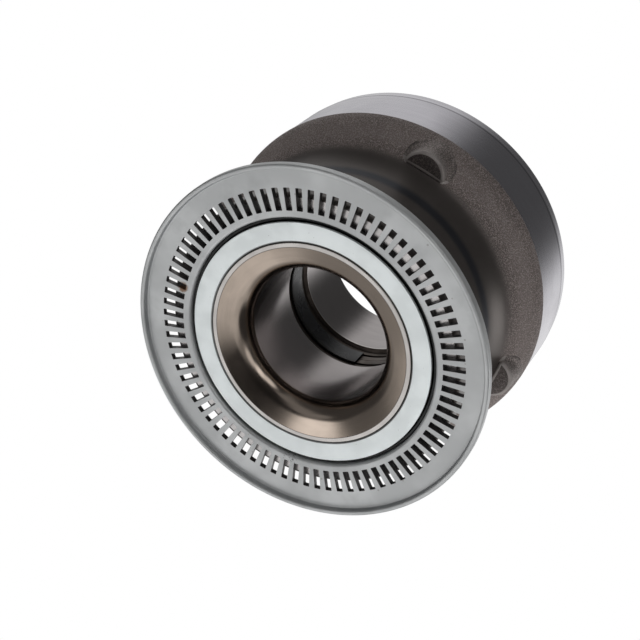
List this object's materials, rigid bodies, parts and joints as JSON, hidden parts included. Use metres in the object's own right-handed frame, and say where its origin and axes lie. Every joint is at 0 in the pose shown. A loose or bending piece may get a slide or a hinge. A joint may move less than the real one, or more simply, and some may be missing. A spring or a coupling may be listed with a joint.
{
  "type": "wheel hub bearing",
  "caption": "Double-row tapered roller hub bearing unit with a forged outer ring, clipped inner rings, end seals and a slotted speed ring.",
  "frame": {"origin": "On the bearing's axis, in the plane of the outer ring's outboard end face, which the part stands on.", "axes": "+Z runs along the bearing's axis from the outboard end to the inboard end with the speed ring. +X points at one of the four forged lugs and +Y at the next."},
  "size_m": [0.154, 0.154, 0.106],
  "materials": {
    "forged_steel": "dark brown-grey forged skin with a shot-blasted grain; the hub seat and end faces are fine turned bright steel",
    "zinc_plate": "matt grey zinc plated pressed steel",
    "phosphated_steel": "bronze-grey phosphated steel, with a ground dark grey bore",
    "roller_steel": "ground and superfinished bearing steel with a film of grease",
    "cage_steel": "dark pressed steel",
    "clip_plastic": "black moulded plastic with a slight sheen",
    "flinger_zinc": "pale bluish zinc plate, satin, with fine specks",
    "seal_steel": "pressed steel",
    "seal_rubber": "black moulded nitrile rubber"
  },
  "bodies": {
    "outer": {"outer_ring": "forged_steel", "speed_ring": "zinc_plate", "seal_case_inboard": "seal_steel", "seal_case_outboard": "seal_steel", "seal_lip_inboard": "seal_rubber", "seal_lip_outboard": "seal_rubber"},
    "inner": {"inner_ring_inboard": "phosphated_steel", "inner_ring_outboard": "phosphated_steel", "inner_ring_clip": "clip_plastic", "seal_flinger_inboard": "flinger_zinc", "seal_flinger_outboard": "flinger_zinc"},
    "cage_inboard": {"cage_inboard": "cage_steel"},
    "cage_outboard": {"cage_outboard": "cage_steel"},
    "roller_inboard_01": {"roller_inboard_01": "roller_steel"},
    "roller_inboard_02": {"roller_inboard_02": "roller_steel"},
    "roller_inboard_03": {"roller_inboard_03": "roller_steel"},
    "roller_inboard_04": {"roller_inboard_04": "roller_steel"},
    "roller_inboard_05": {"roller_inboard_05": "roller_steel"},
    "roller_inboard_06": {"roller_inboard_06": "roller_steel"},
    "roller_inboard_07": {"roller_inboard_07": "roller_steel"},
    "roller_inboard_08": {"roller_inboard_08": "roller_steel"},
    "roller_inboard_09": {"roller_inboard_09": "roller_steel"},
    "roller_inboard_10": {"roller_inboard_10": "roller_steel"},
    "roller_inboard_11": {"roller_inboard_11": "roller_steel"},
    "roller_inboard_12": {"roller_inboard_12": "roller_steel"},
    "roller_inboard_13": {"roller_inboard_13": "roller_steel"},
    "roller_inboard_14": {"roller_inboard_14": "roller_steel"},
    "roller_inboard_15": {"roller_inboard_15": "roller_steel"},
    "roller_inboard_16": {"roller_inboard_16": "roller_steel"},
    "roller_inboard_17": {"roller_inboard_17": "roller_steel"},
    "roller_inboard_18": {"roller_inboard_18": "roller_steel"},
    "roller_outboard_01": {"roller_outboard_01": "roller_steel"},
    "roller_outboard_02": {"roller_outboard_02": "roller_steel"},
    "roller_outboard_03": {"roller_outboard_03": "roller_steel"},
    "roller_outboard_04": {"roller_outboard_04": "roller_steel"},
    "roller_outboard_05": {"roller_outboard_05": "roller_steel"},
    "roller_outboard_06": {"roller_outboard_06": "roller_steel"},
    "roller_outboard_07": {"roller_outboard_07": "roller_steel"},
    "roller_outboard_08": {"roller_outboard_08": "roller_steel"},
    "roller_outboard_09": {"roller_outboard_09": "roller_steel"},
    "roller_outboard_10": {"roller_outboard_10": "roller_steel"},
    "roller_outboard_11": {"roller_outboard_11": "roller_steel"},
    "roller_outboard_12": {"roller_outboard_12": "roller_steel"},
    "roller_outboard_13": {"roller_outboard_13": "roller_steel"},
    "roller_outboard_14": {"roller_outboard_14": "roller_steel"},
    "roller_outboard_15": {"roller_outboard_15": "roller_steel"},
    "roller_outboard_16": {"roller_outboard_16": "roller_steel"},
    "roller_outboard_17": {"roller_outboard_17": "roller_steel"},
    "roller_outboard_18": {"roller_outboard_18": "roller_steel"}
  },
  "joints": [
    {"name": "inner_spin", "type": "hinge", "parent": "outer", "child": "inner", "pos_m": [0, 0, 0.0511], "axis": [0, 0, 1], "continuous": true},
    {"name": "cage_inboard_spin", "type": "hinge", "parent": "outer", "child": "cage_inboard", "pos_m": [0, 0, 0.0678], "axis": [0, 0, 1], "continuous": true},
    {"name": "roller_inboard_01_spin", "type": "hinge", "parent": "cage_inboard", "child": "roller_inboard_01", "pos_m": [0.04389, 0.00307, 0.0678], "axis": [0.2329, 0.0163, 0.9724], "continuous": true},
    {"name": "roller_inboard_02_spin", "type": "hinge", "parent": "cage_inboard", "child": "roller_inboard_02", "pos_m": [0.0402, 0.0179, 0.0678], "axis": [0.2133, 0.095, 0.9724], "continuous": true},
    {"name": "roller_inboard_03_spin", "type": "hinge", "parent": "cage_inboard", "child": "roller_inboard_03", "pos_m": [0.03165, 0.03056, 0.0678], "axis": [0.1679, 0.1622, 0.9724], "continuous": true},
    {"name": "roller_inboard_04_spin", "type": "hinge", "parent": "cage_inboard", "child": "roller_inboard_04", "pos_m": [0.01929, 0.03955, 0.0678], "axis": [0.1023, 0.2098, 0.9724], "continuous": true},
    {"name": "roller_inboard_05_spin", "type": "hinge", "parent": "cage_inboard", "child": "roller_inboard_05", "pos_m": [0.0046, 0.04376, 0.0678], "axis": [0.0244, 0.2322, 0.9724], "continuous": true},
    {"name": "roller_inboard_06_spin", "type": "hinge", "parent": "cage_inboard", "child": "roller_inboard_06", "pos_m": [-0.01064, 0.04269, 0.0678], "axis": [-0.0565, 0.2265, 0.9724], "continuous": true},
    {"name": "roller_inboard_07_spin", "type": "hinge", "parent": "cage_inboard", "child": "roller_inboard_07", "pos_m": [-0.0246, 0.03648, 0.0678], "axis": [-0.1305, 0.1935, 0.9724], "continuous": true},
    {"name": "roller_inboard_08_spin", "type": "hinge", "parent": "cage_inboard", "child": "roller_inboard_08", "pos_m": [-0.0356, 0.02586, 0.0678], "axis": [-0.1889, 0.1372, 0.9724], "continuous": true},
    {"name": "roller_inboard_09_spin", "type": "hinge", "parent": "cage_inboard", "child": "roller_inboard_09", "pos_m": [-0.0423, 0.01213, 0.0678], "axis": [-0.2244, 0.0643, 0.9724], "continuous": true},
    {"name": "roller_inboard_10_spin", "type": "hinge", "parent": "cage_inboard", "child": "roller_inboard_10", "pos_m": [-0.04389, -0.00307, 0.0678], "axis": [-0.2329, -0.0163, 0.9724], "continuous": true},
    {"name": "roller_inboard_11_spin", "type": "hinge", "parent": "cage_inboard", "child": "roller_inboard_11", "pos_m": [-0.0402, -0.0179, 0.0678], "axis": [-0.2133, -0.095, 0.9724], "continuous": true},
    {"name": "roller_inboard_12_spin", "type": "hinge", "parent": "cage_inboard", "child": "roller_inboard_12", "pos_m": [-0.03165, -0.03056, 0.0678], "axis": [-0.1679, -0.1622, 0.9724], "continuous": true},
    {"name": "roller_inboard_13_spin", "type": "hinge", "parent": "cage_inboard", "child": "roller_inboard_13", "pos_m": [-0.01929, -0.03955, 0.0678], "axis": [-0.1023, -0.2098, 0.9724], "continuous": true},
    {"name": "roller_inboard_14_spin", "type": "hinge", "parent": "cage_inboard", "child": "roller_inboard_14", "pos_m": [-0.0046, -0.04376, 0.0678], "axis": [-0.0244, -0.2322, 0.9724], "continuous": true},
    {"name": "roller_inboard_15_spin", "type": "hinge", "parent": "cage_inboard", "child": "roller_inboard_15", "pos_m": [0.01064, -0.04269, 0.0678], "axis": [0.0565, -0.2265, 0.9724], "continuous": true},
    {"name": "roller_inboard_16_spin", "type": "hinge", "parent": "cage_inboard", "child": "roller_inboard_16", "pos_m": [0.0246, -0.03648, 0.0678], "axis": [0.1305, -0.1935, 0.9724], "continuous": true},
    {"name": "roller_inboard_17_spin", "type": "hinge", "parent": "cage_inboard", "child": "roller_inboard_17", "pos_m": [0.0356, -0.02586, 0.0678], "axis": [0.1889, -0.1372, 0.9724], "continuous": true},
    {"name": "roller_inboard_18_spin", "type": "hinge", "parent": "cage_inboard", "child": "roller_inboard_18", "pos_m": [0.0423, -0.01213, 0.0678], "axis": [0.2244, -0.0643, 0.9724], "continuous": true},
    {"name": "cage_outboard_spin", "type": "hinge", "parent": "outer", "child": "cage_outboard", "pos_m": [0, 0, 0.0344], "axis": [0, 0, 1], "continuous": true},
    {"name": "roller_outboard_01_spin", "type": "hinge", "parent": "cage_outboard", "child": "roller_outboard_01", "pos_m": [0.04287, 0.0099, 0.0344], "axis": [-0.2275, -0.0525, 0.9724], "continuous": true},
    {"name": "roller_outboard_02_spin", "type": "hinge", "parent": "cage_outboard", "child": "roller_outboard_02", "pos_m": [0.0369, 0.02396, 0.0344], "axis": [-0.1958, -0.1271, 0.9724], "continuous": true},
    {"name": "roller_outboard_03_spin", "type": "hinge", "parent": "cage_outboard", "child": "roller_outboard_03", "pos_m": [0.02648, 0.03514, 0.0344], "axis": [-0.1405, -0.1864, 0.9724], "continuous": true},
    {"name": "roller_outboard_04_spin", "type": "hinge", "parent": "cage_outboard", "child": "roller_outboard_04", "pos_m": [0.01286, 0.04208, 0.0344], "axis": [-0.0683, -0.2232, 0.9724], "continuous": true},
    {"name": "roller_outboard_05_spin", "type": "hinge", "parent": "cage_outboard", "child": "roller_outboard_05", "pos_m": [-0.0023, 0.04394, 0.0344], "axis": [0.0122, -0.2331, 0.9724], "continuous": true},
    {"name": "roller_outboard_06_spin", "type": "hinge", "parent": "cage_outboard", "child": "roller_outboard_06", "pos_m": [-0.01719, 0.0405, 0.0344], "axis": [0.0912, -0.2149, 0.9724], "continuous": true},
    {"name": "roller_outboard_07_spin", "type": "hinge", "parent": "cage_outboard", "child": "roller_outboard_07", "pos_m": [-0.03001, 0.03218, 0.0344], "axis": [0.1592, -0.1707, 0.9724], "continuous": true},
    {"name": "roller_outboard_08_spin", "type": "hinge", "parent": "cage_outboard", "child": "roller_outboard_08", "pos_m": [-0.0392, 0.01998, 0.0344], "axis": [0.208, -0.106, 0.9724], "continuous": true},
    {"name": "roller_outboard_09_spin", "type": "hinge", "parent": "cage_outboard", "child": "roller_outboard_09", "pos_m": [-0.04367, 0.00536, 0.0344], "axis": [0.2317, -0.0284, 0.9724], "continuous": true},
    {"name": "roller_outboard_10_spin", "type": "hinge", "parent": "cage_outboard", "child": "roller_outboard_10", "pos_m": [-0.04287, -0.0099, 0.0344], "axis": [0.2275, 0.0525, 0.9724], "continuous": true},
    {"name": "roller_outboard_11_spin", "type": "hinge", "parent": "cage_outboard", "child": "roller_outboard_11", "pos_m": [-0.0369, -0.02396, 0.0344], "axis": [0.1958, 0.1271, 0.9724], "continuous": true},
    {"name": "roller_outboard_12_spin", "type": "hinge", "parent": "cage_outboard", "child": "roller_outboard_12", "pos_m": [-0.02648, -0.03514, 0.0344], "axis": [0.1405, 0.1864, 0.9724], "continuous": true},
    {"name": "roller_outboard_13_spin", "type": "hinge", "parent": "cage_outboard", "child": "roller_outboard_13", "pos_m": [-0.01286, -0.04208, 0.0344], "axis": [0.0683, 0.2232, 0.9724], "continuous": true},
    {"name": "roller_outboard_14_spin", "type": "hinge", "parent": "cage_outboard", "child": "roller_outboard_14", "pos_m": [0.0023, -0.04394, 0.0344], "axis": [-0.0122, 0.2331, 0.9724], "continuous": true},
    {"name": "roller_outboard_15_spin", "type": "hinge", "parent": "cage_outboard", "child": "roller_outboard_15", "pos_m": [0.01719, -0.0405, 0.0344], "axis": [-0.0912, 0.2149, 0.9724], "continuous": true},
    {"name": "roller_outboard_16_spin", "type": "hinge", "parent": "cage_outboard", "child": "roller_outboard_16", "pos_m": [0.03001, -0.03218, 0.0344], "axis": [-0.1592, 0.1707, 0.9724], "continuous": true},
    {"name": "roller_outboard_17_spin", "type": "hinge", "parent": "cage_outboard", "child": "roller_outboard_17", "pos_m": [0.0392, -0.01998, 0.0344], "axis": [-0.208, 0.106, 0.9724], "continuous": true},
    {"name": "roller_outboard_18_spin", "type": "hinge", "parent": "cage_outboard", "child": "roller_outboard_18", "pos_m": [0.04367, -0.00536, 0.0344], "axis": [-0.2317, 0.0284, 0.9724], "continuous": true}
  ],
  "couplings": [
    {"joint": "cage_inboard_spin", "follows": "inner_spin", "ratio": 0.42818},
    {"joint": "roller_inboard_01_spin", "follows": "inner_spin", "ratio": -3.3148},
    {"joint": "roller_inboard_02_spin", "follows": "inner_spin", "ratio": -3.3148},
    {"joint": "roller_inboard_03_spin", "follows": "inner_spin", "ratio": -3.3148},
    {"joint": "roller_inboard_04_spin", "follows": "inner_spin", "ratio": -3.3148},
    {"joint": "roller_inboard_05_spin", "follows": "inner_spin", "ratio": -3.3148},
    {"joint": "roller_inboard_06_spin", "follows": "inner_spin", "ratio": -3.3148},
    {"joint": "roller_inboard_07_spin", "follows": "inner_spin", "ratio": -3.3148},
    {"joint": "roller_inboard_08_spin", "follows": "inner_spin", "ratio": -3.3148},
    {"joint": "roller_inboard_09_spin", "follows": "inner_spin", "ratio": -3.3148},
    {"joint": "roller_inboard_10_spin", "follows": "inner_spin", "ratio": -3.3148},
    {"joint": "roller_inboard_11_spin", "follows": "inner_spin", "ratio": -3.3148},
    {"joint": "roller_inboard_12_spin", "follows": "inner_spin", "ratio": -3.3148},
    {"joint": "roller_inboard_13_spin", "follows": "inner_spin", "ratio": -3.3148},
    {"joint": "roller_inboard_14_spin", "follows": "inner_spin", "ratio": -3.3148},
    {"joint": "roller_inboard_15_spin", "follows": "inner_spin", "ratio": -3.3148},
    {"joint": "roller_inboard_16_spin", "follows": "inner_spin", "ratio": -3.3148},
    {"joint": "roller_inboard_17_spin", "follows": "inner_spin", "ratio": -3.3148},
    {"joint": "roller_inboard_18_spin", "follows": "inner_spin", "ratio": -3.3148},
    {"joint": "cage_outboard_spin", "follows": "inner_spin", "ratio": 0.42818},
    {"joint": "roller_outboard_01_spin", "follows": "inner_spin", "ratio": -3.3148},
    {"joint": "roller_outboard_02_spin", "follows": "inner_spin", "ratio": -3.3148},
    {"joint": "roller_outboard_03_spin", "follows": "inner_spin", "ratio": -3.3148},
    {"joint": "roller_outboard_04_spin", "follows": "inner_spin", "ratio": -3.3148},
    {"joint": "roller_outboard_05_spin", "follows": "inner_spin", "ratio": -3.3148},
    {"joint": "roller_outboard_06_spin", "follows": "inner_spin", "ratio": -3.3148},
    {"joint": "roller_outboard_07_spin", "follows": "inner_spin", "ratio": -3.3148},
    {"joint": "roller_outboard_08_spin", "follows": "inner_spin", "ratio": -3.3148},
    {"joint": "roller_outboard_09_spin", "follows": "inner_spin", "ratio": -3.3148},
    {"joint": "roller_outboard_10_spin", "follows": "inner_spin", "ratio": -3.3148},
    {"joint": "roller_outboard_11_spin", "follows": "inner_spin", "ratio": -3.3148},
    {"joint": "roller_outboard_12_spin", "follows": "inner_spin", "ratio": -3.3148},
    {"joint": "roller_outboard_13_spin", "follows": "inner_spin", "ratio": -3.3148},
    {"joint": "roller_outboard_14_spin", "follows": "inner_spin", "ratio": -3.3148},
    {"joint": "roller_outboard_15_spin", "follows": "inner_spin", "ratio": -3.3148},
    {"joint": "roller_outboard_16_spin", "follows": "inner_spin", "ratio": -3.3148},
    {"joint": "roller_outboard_17_spin", "follows": "inner_spin", "ratio": -3.3148},
    {"joint": "roller_outboard_18_spin", "follows": "inner_spin", "ratio": -3.3148}
  ]
}
